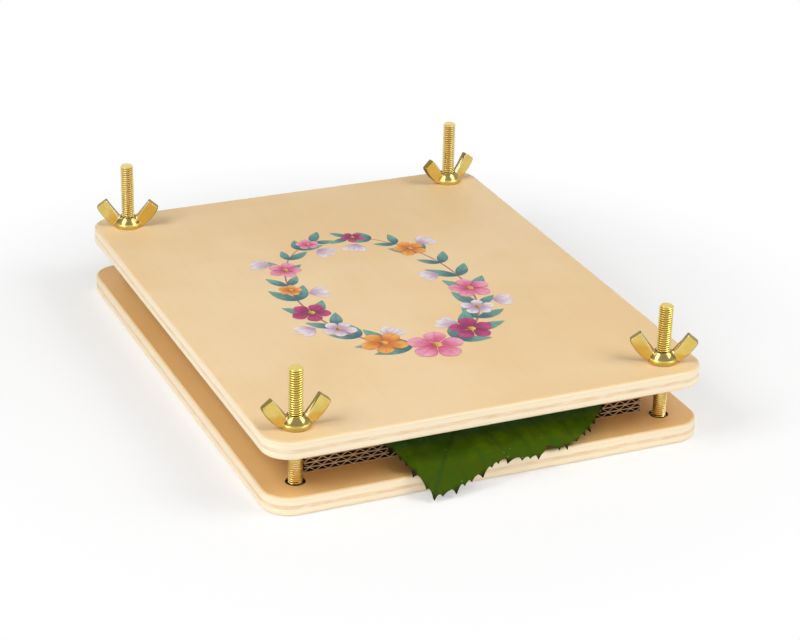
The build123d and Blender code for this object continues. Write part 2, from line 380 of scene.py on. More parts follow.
def bevel_edges(piece, test, offset, segments):
    """In edit mode, bevels the edges that pass a test."""
    choose(piece, "EDGE", test)
    bpy.ops.mesh.bevel(offset=offset, segments=segments, affect="EDGES")


def ends_at(edge, height):
    """Whether both ends of an edge lie at a height."""
    return all(abs(vertex.co.z - height) < NEAR for vertex in edge.verts)


def lay(piece, place):
    """Moves every vertex of a piece to where a function of its old place puts it."""
    for vertex in piece.data.vertices:
        vertex.co = place(vertex.co)
    piece.data.update()


def trace(name, points, closed=True):
    """A ring of edges through points, or a chain of them."""
    piece = add(name, bpy.ops.mesh.primitive_circle_add, vertices=len(points), fill_type="NOTHING")
    for vertex, point in zip(piece.data.vertices, points):
        vertex.co = point
    if not closed:
        last = {0, len(points) - 1}
        with editing(piece):
            choose(piece, "EDGE", lambda edge: {vertex.index for vertex in edge.verts} == last)
            bpy.ops.mesh.delete(type="EDGE")
    return piece


def merge(piece, distance=WELD, solid=True):
    """Closes seams and poles, then turns the faces of a solid outwards."""
    with editing(piece):
        bpy.ops.mesh.select_all(action="SELECT")
        bpy.ops.mesh.remove_doubles(threshold=distance)
        if solid:
            bpy.ops.mesh.normals_make_consistent(inside=False)


def slice_off(piece, place, way):
    """Cuts a piece flat at a place, takes off what lies beyond and closes the cut."""
    with editing(piece):
        bpy.ops.mesh.select_all(action="SELECT")
        bpy.ops.mesh.bisect(
            plane_co=place, plane_no=way, use_fill=True, clear_outer=True, threshold=CUT_SLACK,
        )


def spin(name, profile, steps):
    """A closed profile, given as radius and height, spun about the Z axis."""
    piece = trace(name, [(radius, 0, height) for radius, height in profile])
    with editing(piece):
        bpy.ops.mesh.select_all(action="SELECT")
        bpy.ops.mesh.spin(steps=steps, angle=TURN, center=(0, 0, 0), axis=(0, 0, 1))
    merge(piece)
    return piece


def modify(piece, kind, **settings):
    """Adds a modifier and applies it."""
    modifier = piece.modifiers.new(kind, kind)
    for key, value in settings.items():
        setattr(modifier, key, value)
    pick(piece)
    bpy.ops.object.modifier_apply(modifier=modifier.name)


def combine(piece, other, operation):
    """Cuts, joins or crosses a piece with another one, which is used up."""
    modify(piece, "BOOLEAN", object=other, operation=operation, solver="EXACT")
    bpy.data.objects.remove(other)


def join(pieces):
    """Makes one object of several, named after the first."""
    bpy.ops.object.select_all(action="DESELECT")
    for piece in pieces:
        piece.select_set(True)
    bpy.context.view_layer.objects.active = pieces[0]
    bpy.ops.object.join()
    return pieces[0]


def copy_to(piece, name, place=(0, 0, 0), turn=0.0, scale=(1, 1, 1)):
    """A copy with its own mesh, moved, turned about Z and scaled in its mesh."""
    pick(piece)
    bpy.ops.object.duplicate(linked=False)
    twin = bpy.context.active_object
    name_piece(twin, name)
    twin.location = place
    twin.rotation_euler.z = turn
    twin.scale = scale
    bpy.ops.object.transform_apply(location=True, rotation=True, scale=True)
    return twin


def smooth(piece, degree):
    """Smooth shading across edges that turn by less than an angle."""
    pick(piece)
    bpy.ops.object.shade_smooth_by_angle(angle=radians(degree))


def keep(piece, **numbers):
    """Keeps lists of numbers on the vertices, for the materials."""
    for name, values in numbers.items():
        layer = piece.data.attributes.new(name, "FLOAT", "POINT")
        layer.data.foreach_set("value", values)


def store(piece, **rules):
    """Keeps numbers that rules work out from each vertex."""
    vertices = piece.data.vertices
    keep(piece, **{name: [rule(vertex) for vertex in vertices] for name, rule in rules.items()})


def paint(piece, material):
    """Gives a piece one material."""
    piece.data.materials.clear()
    piece.data.materials.append(material)


def dress(piece, material, body, node=None):
    """Gives a finished piece its material, the body that it rides on and the node that it stands for."""
    if material:
        paint(piece, material)
    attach(piece, body)
    if node:
        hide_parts(node)


def ease(value, low, high):
    """How far the value has come from low to high, from 0 to 1."""
    return max(0, min(1, (value - low) / (high - low)))


def bell(off, width):
    """A bell curve: 1 in the middle, fading to both sides of it."""
    return exp(-(off / width) ** 2)


def wobble(x, y, scale, seed):
    """Smooth noise from -1 to 1 over a plane, with features of about the given size."""
    return noise.noise((x / scale, y / scale, seed))


# Node trees


class Tree:
    """Short calls for building a node tree."""

    def __init__(self, tree):
        self.tree = tree
        tree.nodes.clear()

    def add(self, kind, inputs=None, **settings):
        """A node with settings, and inputs that are values or other nodes' outputs."""
        node = self.tree.nodes.new(kind)
        for key, value in settings.items():
            setattr(node, key, value)
        for key, value in (inputs or {}).items():
            if isinstance(value, bpy.types.NodeSocket):
                self.tree.links.new(value, node.inputs[key])
            else:
                node.inputs[key].default_value = value
        return node

    def math(self, operation, first, second=0.0, clamp=False):
        """The result of a sum on two numbers."""
        node = self.add("ShaderNodeMath", {0: first, 1: second}, operation=operation, use_clamp=clamp)
        return node.outputs[0]

    def times(self, first, second):
        """The product of two numbers."""
        return self.math("MULTIPLY", first, second)

    def mix(self, factor, first, second, blend="MIX"):
        """A mixture of two colours."""
        node = self.add(
            "ShaderNodeMix", {0: factor, 6: first, 7: second}, data_type="RGBA", blend_type=blend,
        )
        return node.outputs[2]

    def ramp(self, factor, low, high, start=0.0, end=1.0):
        """A number carried from one range to another, easing at both ends."""
        node = self.add(
            "ShaderNodeMapRange",
            {"Value": factor, "From Min": low, "From Max": high, "To Min": start, "To Max": end},
            interpolation_type="SMOOTHSTEP",
        )
        return node.outputs["Result"]

    def noise(self, vector, scale, detail=2.0, roughness=0.5):
        """Noise over the surface, from 0 to 1."""
        inputs = {"Vector": vector, "Scale": scale, "Detail": detail, "Roughness": roughness}
        return self.add("ShaderNodeTexNoise", inputs).outputs["Fac"]

    def drift(self, vector, scale, amount, detail=2.0):
        """Noise about zero, over a range of the given amount."""
        return self.times(self.math("SUBTRACT", self.noise(vector, scale, detail), 0.5), amount)

    def attribute(self, name):
        """A number kept on the mesh."""
        return self.add("ShaderNodeAttribute", attribute_name=name).outputs["Fac"]

    def place(self):
        """The place on the piece."""
        return self.add("ShaderNodeTexCoord").outputs["Object"]

    def group(self, group, inputs):
        """The outputs of a shared effect with its own values."""
        return self.add("ShaderNodeGroup", inputs, node_tree=group).outputs

    def surface(self, inputs, height=None, strength=0.1, distance=0.1 * MM):
        """The Principled shader with its inputs, and a bump from a height if there is one."""
        shader = self.add("ShaderNodeBsdfPrincipled", inputs)
        if height:
            bump = self.add("ShaderNodeBump", {"Height": height, "Strength": strength, "Distance": distance})
            self.tree.links.new(bump.outputs["Normal"], shader.inputs["Normal"])
        output = self.add("ShaderNodeOutputMaterial")
        self.tree.links.new(shader.outputs[0], output.inputs["Surface"])
        return shader


def rgba(value):
    """A colour setting as a node's colour."""
    return (*value, 1.0)


def new_material(name):
    """An empty node material and its tree."""
    material = bpy.data.materials.new(name)
    material.use_nodes = True
    return material, Tree(material.node_tree)


def new_group(name, inputs, outputs):
    """An empty shader group, its tree, and the sockets of its inputs and outputs."""
    group = bpy.data.node_groups.new(name, "ShaderNodeTree")
    for label, kind in inputs.items():
        group.interface.new_socket(label, in_out="INPUT", socket_type=kind)
    for label, kind in outputs.items():
        group.interface.new_socket(label, in_out="OUTPUT", socket_type=kind)
    tree = Tree(group)
    return group, tree, tree.add("NodeGroupInput").outputs, tree.add("NodeGroupOutput").inputs


def patches_group():
    """Soft patches of a second colour, shared by all the finishes."""
    name = "Soft patches"
    if name in bpy.data.node_groups:
        return bpy.data.node_groups[name]
    group, tree, given, put = new_group(
        name,
        {"Vector": "NodeSocketVector", "Scale": "NodeSocketFloat", "Amount": "NodeSocketFloat",
         "First": "NodeSocketColor", "Second": "NodeSocketColor"},
        {"Color": "NodeSocketColor", "Mask": "NodeSocketFloat"},
    )
    cloud = tree.noise(given["Vector"], given["Scale"], 4.0, 0.55)
    mask = tree.ramp(cloud, 0.34, 0.68)
    blend = tree.times(mask, given["Amount"])
    tree.tree.links.new(tree.mix(blend, given["First"], given["Second"]), put["Color"])
    tree.tree.links.new(mask, put["Mask"])
    return group


def streaks_group():
    """Fine streaks drawn out along an axis, shared by wood, card, paper and leaf."""
    name = "Fine streaks"
    if name in bpy.data.node_groups:
        return bpy.data.node_groups[name]
    group, tree, given, put = new_group(
        name,
        {"Vector": "NodeSocketVector", "Stretch": "NodeSocketVector", "Low": "NodeSocketFloat",
         "High": "NodeSocketFloat"},
        {"Mask": "NodeSocketFloat", "Height": "NodeSocketFloat"},
    )
    stretched = tree.add(
        "ShaderNodeVectorMath", {0: given["Vector"], 1: given["Stretch"]}, operation="MULTIPLY",
    )
    fibre = tree.noise(stretched.outputs[0], 1.0, 3.0, 0.6)
    mask = tree.add(
        "ShaderNodeMapRange", {"Value": fibre, "From Min": given["Low"], "From Max": given["High"]},
    )
    tree.tree.links.new(mask.outputs["Result"], put["Mask"])
    tree.tree.links.new(fibre, put["Height"])
    return group


def patches(tree, place, scale, amount, first, second):
    """The Color of a finish with soft patches of a second colour, and the Mask of the patches."""
    values = {"Vector": place, "Scale": scale, "Amount": amount, "First": first, "Second": second}
    return tree.group(patches_group(), values)


def streaks(tree, place, stretch, low, high):
    """The Mask and the Height of fine streaks."""
    return tree.group(streaks_group(), {"Vector": place, "Stretch": stretch, "Low": low, "High": high})


# Finishes


def plywood_finish(boards):
    """Sealed birch faces with painted shade where the boards face each other, rims where the plies show as
    bands, and painted shade on the walls of the holes.
    """
    material, tree = new_material("Plywood")
    place = tree.place()
    level = tree.attribute("ply_level")
    birch = patches(tree, place, 16.0, 0.55, rgba(boards.face), rgba(boards.face_warm))
    grain = streaks(tree, place, (520.0, 16.0, 520.0), 0.52, 0.8)
    flecks = streaks(tree, place, (900.0, 190.0, 900.0), 0.68, 0.78)
    marks = tree.math("ADD", tree.times(grain["Mask"], 0.09), tree.times(flecks["Mask"], 0.2), clamp=True)
    outer = tree.mix(marks, birch["Color"], rgba(boards.grain))
    # Painted shade: the faces between the boards are tinted warmer and darker, in place of their shade and
    # bounce light.
    face = tree.mix(tree.attribute("inner"), outer, rgba(boards.inner), "MULTIPLY")
    bands = (
        (0.00, boards.ply_pale), (0.13, boards.ply_pale), (0.15, boards.glue), (0.18, boards.ply_pale),
        (0.36, boards.ply_pale), (0.41, boards.ply_tan), (0.57, boards.ply_tan), (0.62, boards.ply_pale),
        (0.83, boards.ply_pale), (0.86, boards.ply_tan), (0.88, boards.ply_pale),
    )
    uneven = tree.math("ADD", level, tree.drift(place, 45.0, 0.09, 3.0))
    plies = tree.add("ShaderNodeValToRGB", {"Fac": uneven})
    stops = plies.color_ramp.elements
    while len(stops) < len(bands):
        stops.new(1.0)
    for stop, (where, tint) in zip(stops, bands):
        stop.position = where
        stop.color = rgba(tint)
    fibres = streaks(tree, place, (140.0, 140.0, 900.0), 0.34, 0.66)
    rim = tree.mix(tree.times(fibres["Mask"], 0.75), plies.outputs["Color"], rgba(boards.ply_pale))
    depth = tree.math("MINIMUM", level, tree.math("SUBTRACT", 1.0, level))
    whole = tree.mix(tree.ramp(depth, 0.02, 0.11), face, rim)
    # Painted shade on the walls of the holes and seats
    tint = tree.mix(tree.attribute("drilled"), whole, rgba(boards.drilled))
    rough = tree.ramp(birch["Mask"], 0.0, 1.0, 0.42, 0.52)
    tree.surface(
        {"Base Color": tint, "Roughness": rough, "Specular IOR Level": 0.4},
        height=grain["Height"], strength=0.12, distance=0.05 * MM,
    )
    return material


def gold_finish(hardware):
    """Bright yellow plating with a faint warm bloom, painted shade and painted dark reflections on grooves,
    domes and edges, painted highlights on chamfers, painted light on shanks, and some clear lacquer.
    """
    material, tree = new_material("Gold plating")
    place = tree.place()
    bloom = patches(tree, place, 260.0, 0.6, rgba(hardware.gold), rgba(hardware.gold_warm))
    smudge = tree.noise(place, 620.0, 4.0, 0.6)
    # Painted shade: grooves, the parts inside the bottom board, domes and narrow edges are darkened towards
    # the dark colour.
    painted_shade = tree.times(tree.attribute("shade"), 0.8)
    shaded_plating = tree.mix(painted_shade, bloom["Color"], rgba(hardware.gold_dark))
    # Painted highlight and painted light: chamfers and shanks are lightened towards a pale colour.
    tint = tree.mix(tree.attribute("worn"), shaded_plating, rgba(hardware.gold_worn))
    bright = tree.ramp(smudge, 0.3, 0.75, 0.13, 0.25)
    rough = tree.math("ADD", bright, tree.times(tree.attribute("matt"), 0.3))
    tree.surface(
        {"Base Color": tint, "Metallic": 1.0, "Roughness": rough,
         "Coat Weight": tree.attribute("lacquer"), "Coat Roughness": 0.06, "Coat IOR": 1.55},
        height=smudge, strength=0.04, distance=0.05 * MM,
    )
    return material


def fibre_finish(name, first, second, shade, stretch, scale, roughness):
    """Matt fibres with soft patches, for card and paper, and a shade for what lies inside the sheet."""
    material, tree = new_material(name)
    place = tree.place()
    pulp = patches(tree, place, scale, 0.5, rgba(first), rgba(second))
    fibres = streaks(tree, place, stretch, 0.5, 0.75)
    fibrous = tree.mix(tree.times(fibres["Mask"], 0.5), pulp["Color"], rgba(second))
    tint = tree.mix(tree.attribute("inside"), fibrous, rgba(shade))
    rough = tree.ramp(fibres["Mask"], 0.0, 1.0, roughness, 0.98)
    tree.surface(
        {"Base Color": tint, "Roughness": rough, "Specular IOR Level": 0.2},
        height=fibres["Height"], strength=0.3, distance=0.08 * MM,
    )
    return material


def leaf_finish(leaf):
    """A waxy blade with cooler mottles and veins, painted cool shade where it leaves the stack, painted
    shade on the drooping tip, dark teeth and tiny specks.
    """
    material, tree = new_material("Leaf blade")
    place = tree.place()
    vein = tree.attribute("vein")
    droop = tree.attribute("droop")
    green = patches(tree, place, 75.0, 0.8, rgba(leaf.green), rgba(leaf.green_dark))
    cells = streaks(tree, place, (900.0, 900.0, 900.0), 0.4, 0.8)
    blade = tree.mix(tree.times(cells["Mask"], 0.35), green["Color"], rgba(leaf.green_dark))
    # Painted shade: cooler green at the fold, deeper green towards the tip.
    fold_shade = tree.mix(tree.ramp(droop, 0.36, 0.04, 0.0, 0.85), blade, rgba(leaf.green_fold))
    deep = tree.mix(tree.ramp(droop, 0.3, 0.8), fold_shade, rgba(leaf.green_tip))
    mottled = patches(tree, place, 170.0, 0.6, deep, rgba(leaf.green_cool))
    veined = tree.mix(tree.times(vein, 0.55), mottled["Color"], rgba(leaf.vein))
    rim = tree.ramp(tree.attribute("rim"), 0.12, 0.75, 0.0, 0.95)
    rimmed = tree.mix(rim, veined, rgba(leaf.margin))
    dots = tree.add("ShaderNodeTexVoronoi", {"Vector": place, "Scale": 190.0}).outputs["Distance"]
    tint = tree.mix(tree.ramp(dots, 0.09, 0.04, 0.0, 0.5), rimmed, rgba(leaf.speck))
    height = tree.math("ADD", tree.times(cells["Height"], 0.6), vein)
    rough = tree.ramp(cells["Mask"], 0.0, 1.0, 0.55, 0.75)
    tree.surface(
        {"Base Color": tint, "Roughness": rough, "Specular IOR Level": 0.05},
        height=height, strength=0.35, distance=0.12 * MM,
    )
    return material


def ink_finish(name, heart, tip):
    """Watercolour ink that pools from the foot of a shape to its tip."""
    material, tree = new_material(name)
    place = tree.place()
    across = tree.attribute("across")
    pool = patches(tree, place, 210.0, 0.35, rgba(tip), rgba(heart))
    bleed = tree.math("ADD", tree.attribute("along"), tree.drift(place, 330.0, 0.5))
    wash = tree.mix(tree.ramp(bleed, 0.05, 0.85), rgba(heart), pool["Color"])
    midline = tree.times(tree.ramp(across, 0.1, 0.02), 0.55)
    edge = tree.times(tree.ramp(across, 0.82, 1.0), 0.5)
    tint = tree.mix(tree.math("MAXIMUM", midline, edge), wash, rgba(heart))
    rough = tree.ramp(pool["Mask"], 0.0, 1.0, 0.44, 0.55)
    tree.surface({"Base Color": tint, "Roughness": rough, "Specular IOR Level": 0.35})
    return material


# Boards


def bolt_places():
    """The bolts' axes in plan."""
    return [(low + high) / 2 for low, high in BOLT.values()]


def off_bolt(point):
    """How far a point lies from the nearest bolt's axis, in plan."""
    return min(hypot(point.x - place.x, point.y - place.y) for place in bolt_places())


def pegs(primitive, low, high, **options):
    """Four like cutters on the bolts' axes, from one height to another, as one object."""
    pieces = []
    for place in bolt_places():
        at = (place.x, place.y, (low + high) / 2)
        pieces.append(add("peg", primitive, location=at, **options))
    return join(pieces)


def make_board(name, low, high, boards, sunk):
    """A board with round corners and rims and a hole for each bolt, sunk for the heads if asked."""
    size = high - low
    inner = high.z if sunk else low.z
    cube = bpy.ops.mesh.primitive_cube_add
    cylinder = bpy.ops.mesh.primitive_cylinder_add
    piece = add(name, cube, size=1, location=(low + high) / 2, scale=size)

    def at_face(edge):
        return ends_at(edge, low.z) or ends_at(edge, high.z)

    with editing(piece):
        bevel_edges(piece, lambda edge: not at_face(edge), boards.corner_radius, 20)
        bevel_edges(piece, at_face, boards.edge_radius, 6)
    past = 5 * MM
    deep = size.z + 2 * past
    holes = pegs(cylinder, low.z - past, high.z + past, vertices=64, radius=boards.hole / 2, depth=deep)
    combine(piece, holes, "DIFFERENCE")
    if sunk:
        roof = low.z + boards.seat_depth
        deep = boards.seat_depth + past
        seats = pegs(cylinder, low.z - past, roof, vertices=72, radius=boards.seat / 2, depth=deep)
        combine(piece, seats, "DIFFERENCE")
        square = (boards.notch, boards.notch, boards.notch_depth + past)
        notches = pegs(cube, roof - past, roof + boards.notch_depth, size=1, scale=square)
        combine(piece, notches, "DIFFERENCE")

    def at_hole(edge):
        """The rims of the holes, and not of the seats."""
        middle = (edge.verts[0].co + edge.verts[1].co) / 2
        rim = ends_at(edge, high.z) or (ends_at(edge, low.z) and not sunk)
        return rim and off_bolt(middle) < boards.hole / 2 + ROOM

    def drilled(vertex):
        """The walls of the holes and seats, below their rims, which take painted shade."""
        near = off_bolt(vertex.co) < boards.seat / 2 + ROOM
        depth = min(vertex.co.z - low.z, high.z - vertex.co.z)
        return near * ease(depth, 0.3 * boards.hole_rim, boards.hole_rim)

    with editing(piece):
        bevel_edges(piece, at_hole, boards.hole_rim, 2)
    smooth(piece, 35)
    modify(piece, "WEIGHTED_NORMAL", keep_sharp=True)
    store(
        piece, drilled=drilled,
        ply_level=lambda vertex: (vertex.co.z - low.z) / size.z,
        # inner marks the faces that take the painted shade between the boards
        inner=lambda vertex: abs(vertex.co.z - inner) < NEAR,
    )
    return piece


class PRESS_OT_boards(bpy.types.Operator):
    """Makes the two plywood boards"""

    bl_idname = "press.boards"
    bl_label = "Boards"

    def execute(self, context):
        boards = context.scene.flower_press.boards
        finish = plywood_finish(boards)
        bottom = make_board("ply_board_bottom", *BOTTOM, boards, True)
        dress(bottom, finish, "base", "bottom_board")
        top = make_board("ply_board_top", *TOP, boards, False)
        dress(top, finish, "top_board", "top_board")
        return {"FINISHED"}


# Bolts


def make_thread(hardware, low, tip):
    """A threaded shank about the Z axis, cut flat at both ends and chamfered at its tip."""
    crest = hardware.thread / 2
    root = crest - hardware.thread_depth
    shoulder = crest - 0.03 * MM
    pitch = hardware.pitch
    groove = ((root, 0.0), (root, 0.14), (shoulder, 0.4), (crest, 0.44), (crest, 0.56), (shoulder, 0.6),
              (root, 0.86), (root, 1.0))
    spare = 0.2 * MM
    start = low - 2 * pitch
    turns = ceil((tip - start) / pitch) + 2
    steps = 32
    shank = trace("shank", [(radius, 0, start + part * pitch) for radius, part in groove], closed=False)
    modify(
        shank, "SCREW", axis="Z", angle=TURN, screw_offset=pitch, iterations=turns, steps=steps,
        render_steps=steps, use_merge_vertices=True, merge_threshold=WELD,
    )
    merge(shank)
    slice_off(shank, (0, 0, low), (0, 0, -1))
    slice_off(shank, (0, 0, tip + spare), (0, 0, 1))
    merge(shank, WELD / 2)
    blank = add("blank", bpy.ops.mesh.primitive_cylinder_add, vertices=64, radius=crest + spare,
                depth=tip - low + spare, location=(0, 0, (tip + low - spare) / 2))
    with editing(blank):
        bevel_edges(blank, lambda edge: ends_at(edge, tip), hardware.tip_chamfer + spare, 1)
    combine(shank, blank, "INTERSECT")
    return shank


def make_bolt(hardware, low, high, painted_light_share):
    """A bolt about the Z axis: a domed head, a square neck and a threaded shank, with painted shade and
    painted light in places.
    """
    radius = (high.x - low.x) / 2
    dome = hardware.head_height - hardware.head_rim
    ball = (radius**2 + dome**2) / (2 * dome)
    base = low.z
    roof = base + hardware.head_height
    soft = 0.15 * MM
    rings = 10
    profile = [(0, roof), (0, base)]
    for step in range(1, rings + 1):
        out = radius * step / rings
        profile.append((out, base + ball - sqrt(ball**2 - out**2)))
    profile += [(radius, roof - soft), (radius - soft, roof)]
    bolt = spin("bolt", profile, 64)
    neck = add("neck", bpy.ops.mesh.primitive_cube_add, size=1,
               location=(0, 0, roof + hardware.neck_length / 2 - soft),
               scale=(hardware.neck, hardware.neck, hardware.neck_length + 2 * soft))
    combine(bolt, neck, "UNION")
    combine(bolt, make_thread(hardware, roof + hardware.neck_length / 2, high.z), "UNION")
    merge(bolt)
    smooth(bolt, 32)

    def sunk(vertex):
        """The part inside the bottom board."""
        return ease(BOTTOM[1].z - vertex.co.z, 0, BLUR)

    def groove(vertex):
        """Painted shade: the thread's groove below the tip, and what is inside the bottom board, darkened
        where shade falls.
        """
        depth = hardware.thread / 2 - hypot(vertex.co.x, vertex.co.y)
        tip = high.z - vertex.co.z < hardware.tip_chamfer
        painted_dark = hardware.high_groove if vertex.co.z > TOP[0].z else hardware.low_groove
        return max(sunk(vertex), 0 if tip else painted_dark * ease(depth, 0, hardware.thread_depth))

    def worn(vertex):
        """Painted light: paler plating on the shank between the boards, changing inside the top board to the
        share set above it.
        """
        above = ease(vertex.co.z, TOP[0].z, TOP[1].z)
        return (hardware.low_wear + (painted_light_share - hardware.low_wear) * above) * (1 - sunk(vertex))

    store(bolt, matt=sunk, shade=groove, worn=worn)
    return bolt


class PRESS_OT_bolts(bpy.types.Operator):
    """Makes a short front bolt and a long back one and copies them to the four corners"""

    bl_idname = "press.bolts"
    bl_label = "Bolts"

    def execute(self, context):
        hardware = context.scene.flower_press.hardware
        finish = gold_finish(hardware)
        for row in ("front", "back"):
            pattern = make_bolt(hardware, *BOLT[f"{row}_left"], getattr(hardware, f"{row}_wear"))
            for number, (corner, place) in enumerate(zip(CORNERS, bolt_places())):
                if corner.startswith(row):
                    at = (place.x, place.y, 0)
                    bolt = copy_to(pattern, f"threaded_bolt_{corner}", at, number * pi / 2)
                    dress(bolt, finish, "base", f"bolt_{corner}")
            bpy.data.objects.remove(pattern)
        return {"FINISHED"}


# Wing nuts


def make_boss(hardware):
    """The nut's solid round boss, with a flared lower rim and a dome, going on below the base."""
    flange = hardware.boss_flange / 2
    waist = hardware.boss_waist / 2
    crown = hardware.boss_crown / 2
    foot = hardware.boss_foot / 2
    height = hardware.boss_height
    lip = hardware.boss_lip
    below = -1 * MM
    flare = 0.35 * MM
    taper = 0.05 * MM
    shoulder = 0.4 * MM
    profile = [(0, below), (foot, below), (foot, 0), (flange, flare), (flange - taper, lip - shoulder),
               (waist, lip)]
    steps = 8
    for step in range(steps + 1):
        part = step / steps
        bulge = hardware.boss_bulge * 4 * part * (1 - part)
        profile.append((waist + (crown - waist) * part + bulge, lip + (height - lip) * part))
    profile.append((0, height))
    return spin("wing_nut", profile, 72)


def make_bore(hardware):
    """The cutter for the nut's bore, chamfered at both ends."""
    bore = hardware.bore / 2
    lead = hardware.bore_chamfer
    height = hardware.boss_height
    past = 2 * MM
    profile = [(0, -past), (bore + lead + past, -past), (bore, lead), (bore, height - lead),
               (bore + lead + past, height + past), (0, height + past)]
    return spin("bore", profile, 72)


def make_wing(hardware):
    """One flat wing that rises outwards along X from inside the boss."""
    bore = hardware.bore / 2
    top_wall = 0.55 * MM
    root_wall = 0.9 * MM
    inner = Vector((bore + top_wall, 0, hardware.boss_height))
    corner = Vector((hardware.wing_reach, 0, hardware.wing_top))
    foot = Vector((hardware.boss_foot / 2, 0, hardware.wing_root))
    rise = atan2(corner.z - inner.z, corner.x - inner.x)
    across = Vector((sin(rise), 0, -cos(rise)))
    outer = corner + across * hardware.wing_width
    outline = [inner, corner, outer]
    steps = 12
    for step in range(1, steps + 1):
        part = step / steps
        bulge = across * hardware.wing_belly * 4 * part * (1 - part)
        outline.append(outer.lerp(foot, part) + bulge)
    outline.append(Vector((bore + root_wall, 0, hardware.wing_root)))
    wing = trace("wing", outline)

    def at_end(vertex):
        return min((vertex.co - corner).length, (vertex.co - outer).length) < NEAR

    with editing(wing):
        bpy.ops.mesh.select_all(action="SELECT")
        bpy.ops.mesh.edge_face_add()
        choose(wing, "VERT", at_end)
        bpy.ops.mesh.bevel(offset=hardware.wing_corner, segments=4, affect="VERTICES")
    modify(wing, "SOLIDIFY", thickness=hardware.wing_thickness, offset=0)
    merge(wing)
    flat = hardware.wing_thickness / 2

    def along_side(edge):
        on_side = all(abs(abs(vertex.co.y) - flat) < NEAR for vertex in edge.verts)
        return on_side and edge.verts[0].co.y * edge.verts[1].co.y > 0

    def at_inner_edge(edge, reach):
        return all((vertex.co - inner).dot(across) < reach for vertex in edge.verts)

    with editing(wing):
        chamfer = hardware.wing_chamfer
        bevel_edges(wing, lambda edge: along_side(edge) and at_inner_edge(edge, NEAR), chamfer, 1)
        past = chamfer + ROOM / 2
        rest = hardware.wing_edge
        bevel_edges(wing, lambda edge: along_side(edge) and not at_inner_edge(edge, past), rest, 4)
    return wing


def make_wing_nut(hardware):
    """A cast wing nut that stands on the XY plane about the Z axis, its corners softened all over."""
    nut = make_boss(hardware)
    wing = make_wing(hardware)
    combine(nut, copy_to(wing, "other_wing", turn=pi), "UNION")
    combine(nut, wing, "UNION")
    modify(nut, "REMESH", mode="VOXEL", voxel_size=hardware.cast_grain)
    modify(nut, "SMOOTH", factor=0.5, iterations=6)
    combine(nut, make_bore(hardware), "DIFFERENCE")
    slice_off(nut, (0, 0, 0), (0, 0, -1))
    merge(nut)
    smooth(nut, 40)

    def worn(vertex):
        """Painted highlight on the chamfers along the wings' inner edges."""
        inwards = vertex.co.x * vertex.normal.x < 0 and abs(vertex.co.x) > hardware.boss_crown / 2
        aside = abs(vertex.normal.y)
        aslant = ease(aside, 0.3, 0.5) * ease(aside, 0.92, 0.82)
        return inwards * aslant * ease(vertex.normal.z, 0.05, 0.2)

    def painted_dark(vertex):
        """Painted dark reflection on the dome and the wings' edges, and not on the wings' flat sides or the
        lip.
        """
        raised = ease(vertex.co.z, hardware.boss_lip, hardware.boss_lip + BLUR)
        on_wing = abs(abs(vertex.co.y) - hardware.wing_thickness / 2) < 2 * ROOM
        flat = on_wing * ease(abs(vertex.normal.y), 0.75, 0.97)
        return raised * (1 - flat)

    def matt(vertex):
        """The lip that stands on the board."""
        return vertex.co.z < hardware.boss_lip and vertex.co.xy.length < hardware.boss_flange / 2 + ROOM

    def shade(vertex):
        """Painted dark reflection on the dome and edges, and painted shade on the lip, most where it faces
        up.
        """
        return max(painted_dark(vertex), matt(vertex) * (0.3 + 0.5 * max(0, vertex.normal.z)))

    def lacquer(vertex):
        """A clear coat on the round of the dome."""
        on_boss = vertex.co.xy.length < hardware.boss_waist / 2 + 3 * ROOM
        under_crown = vertex.co.z < hardware.boss_height and vertex.normal.z < 0.9
        return painted_dark(vertex) * (on_boss and under_crown)

    store(nut, worn=worn, matt=matt, shade=shade, lacquer=lacquer)
    return nut


class PRESS_OT_wing_nuts(bpy.types.Operator):
    """Makes one wing nut and copies it to the four corners, each turned its own way"""

    bl_idname = "press.wing_nuts"
    bl_label = "Wing nuts"

    def execute(self, context):
        hardware = context.scene.flower_press.hardware
        finish = bpy.data.materials["Gold plating"]
        pattern = make_wing_nut(hardware)
        for corner, place in zip(CORNERS, bolt_places()):
            turn = getattr(hardware, f"turn_{corner}")
            nut = copy_to(pattern, f"cast_nut_{corner}", (place.x, place.y, TOP[1].z), turn)
            dress(nut, finish, f"{corner}_nut", f"wing_nut_{corner}")
        bpy.data.objects.remove(pattern)
        return {"FINISHED"}


# Card and paper


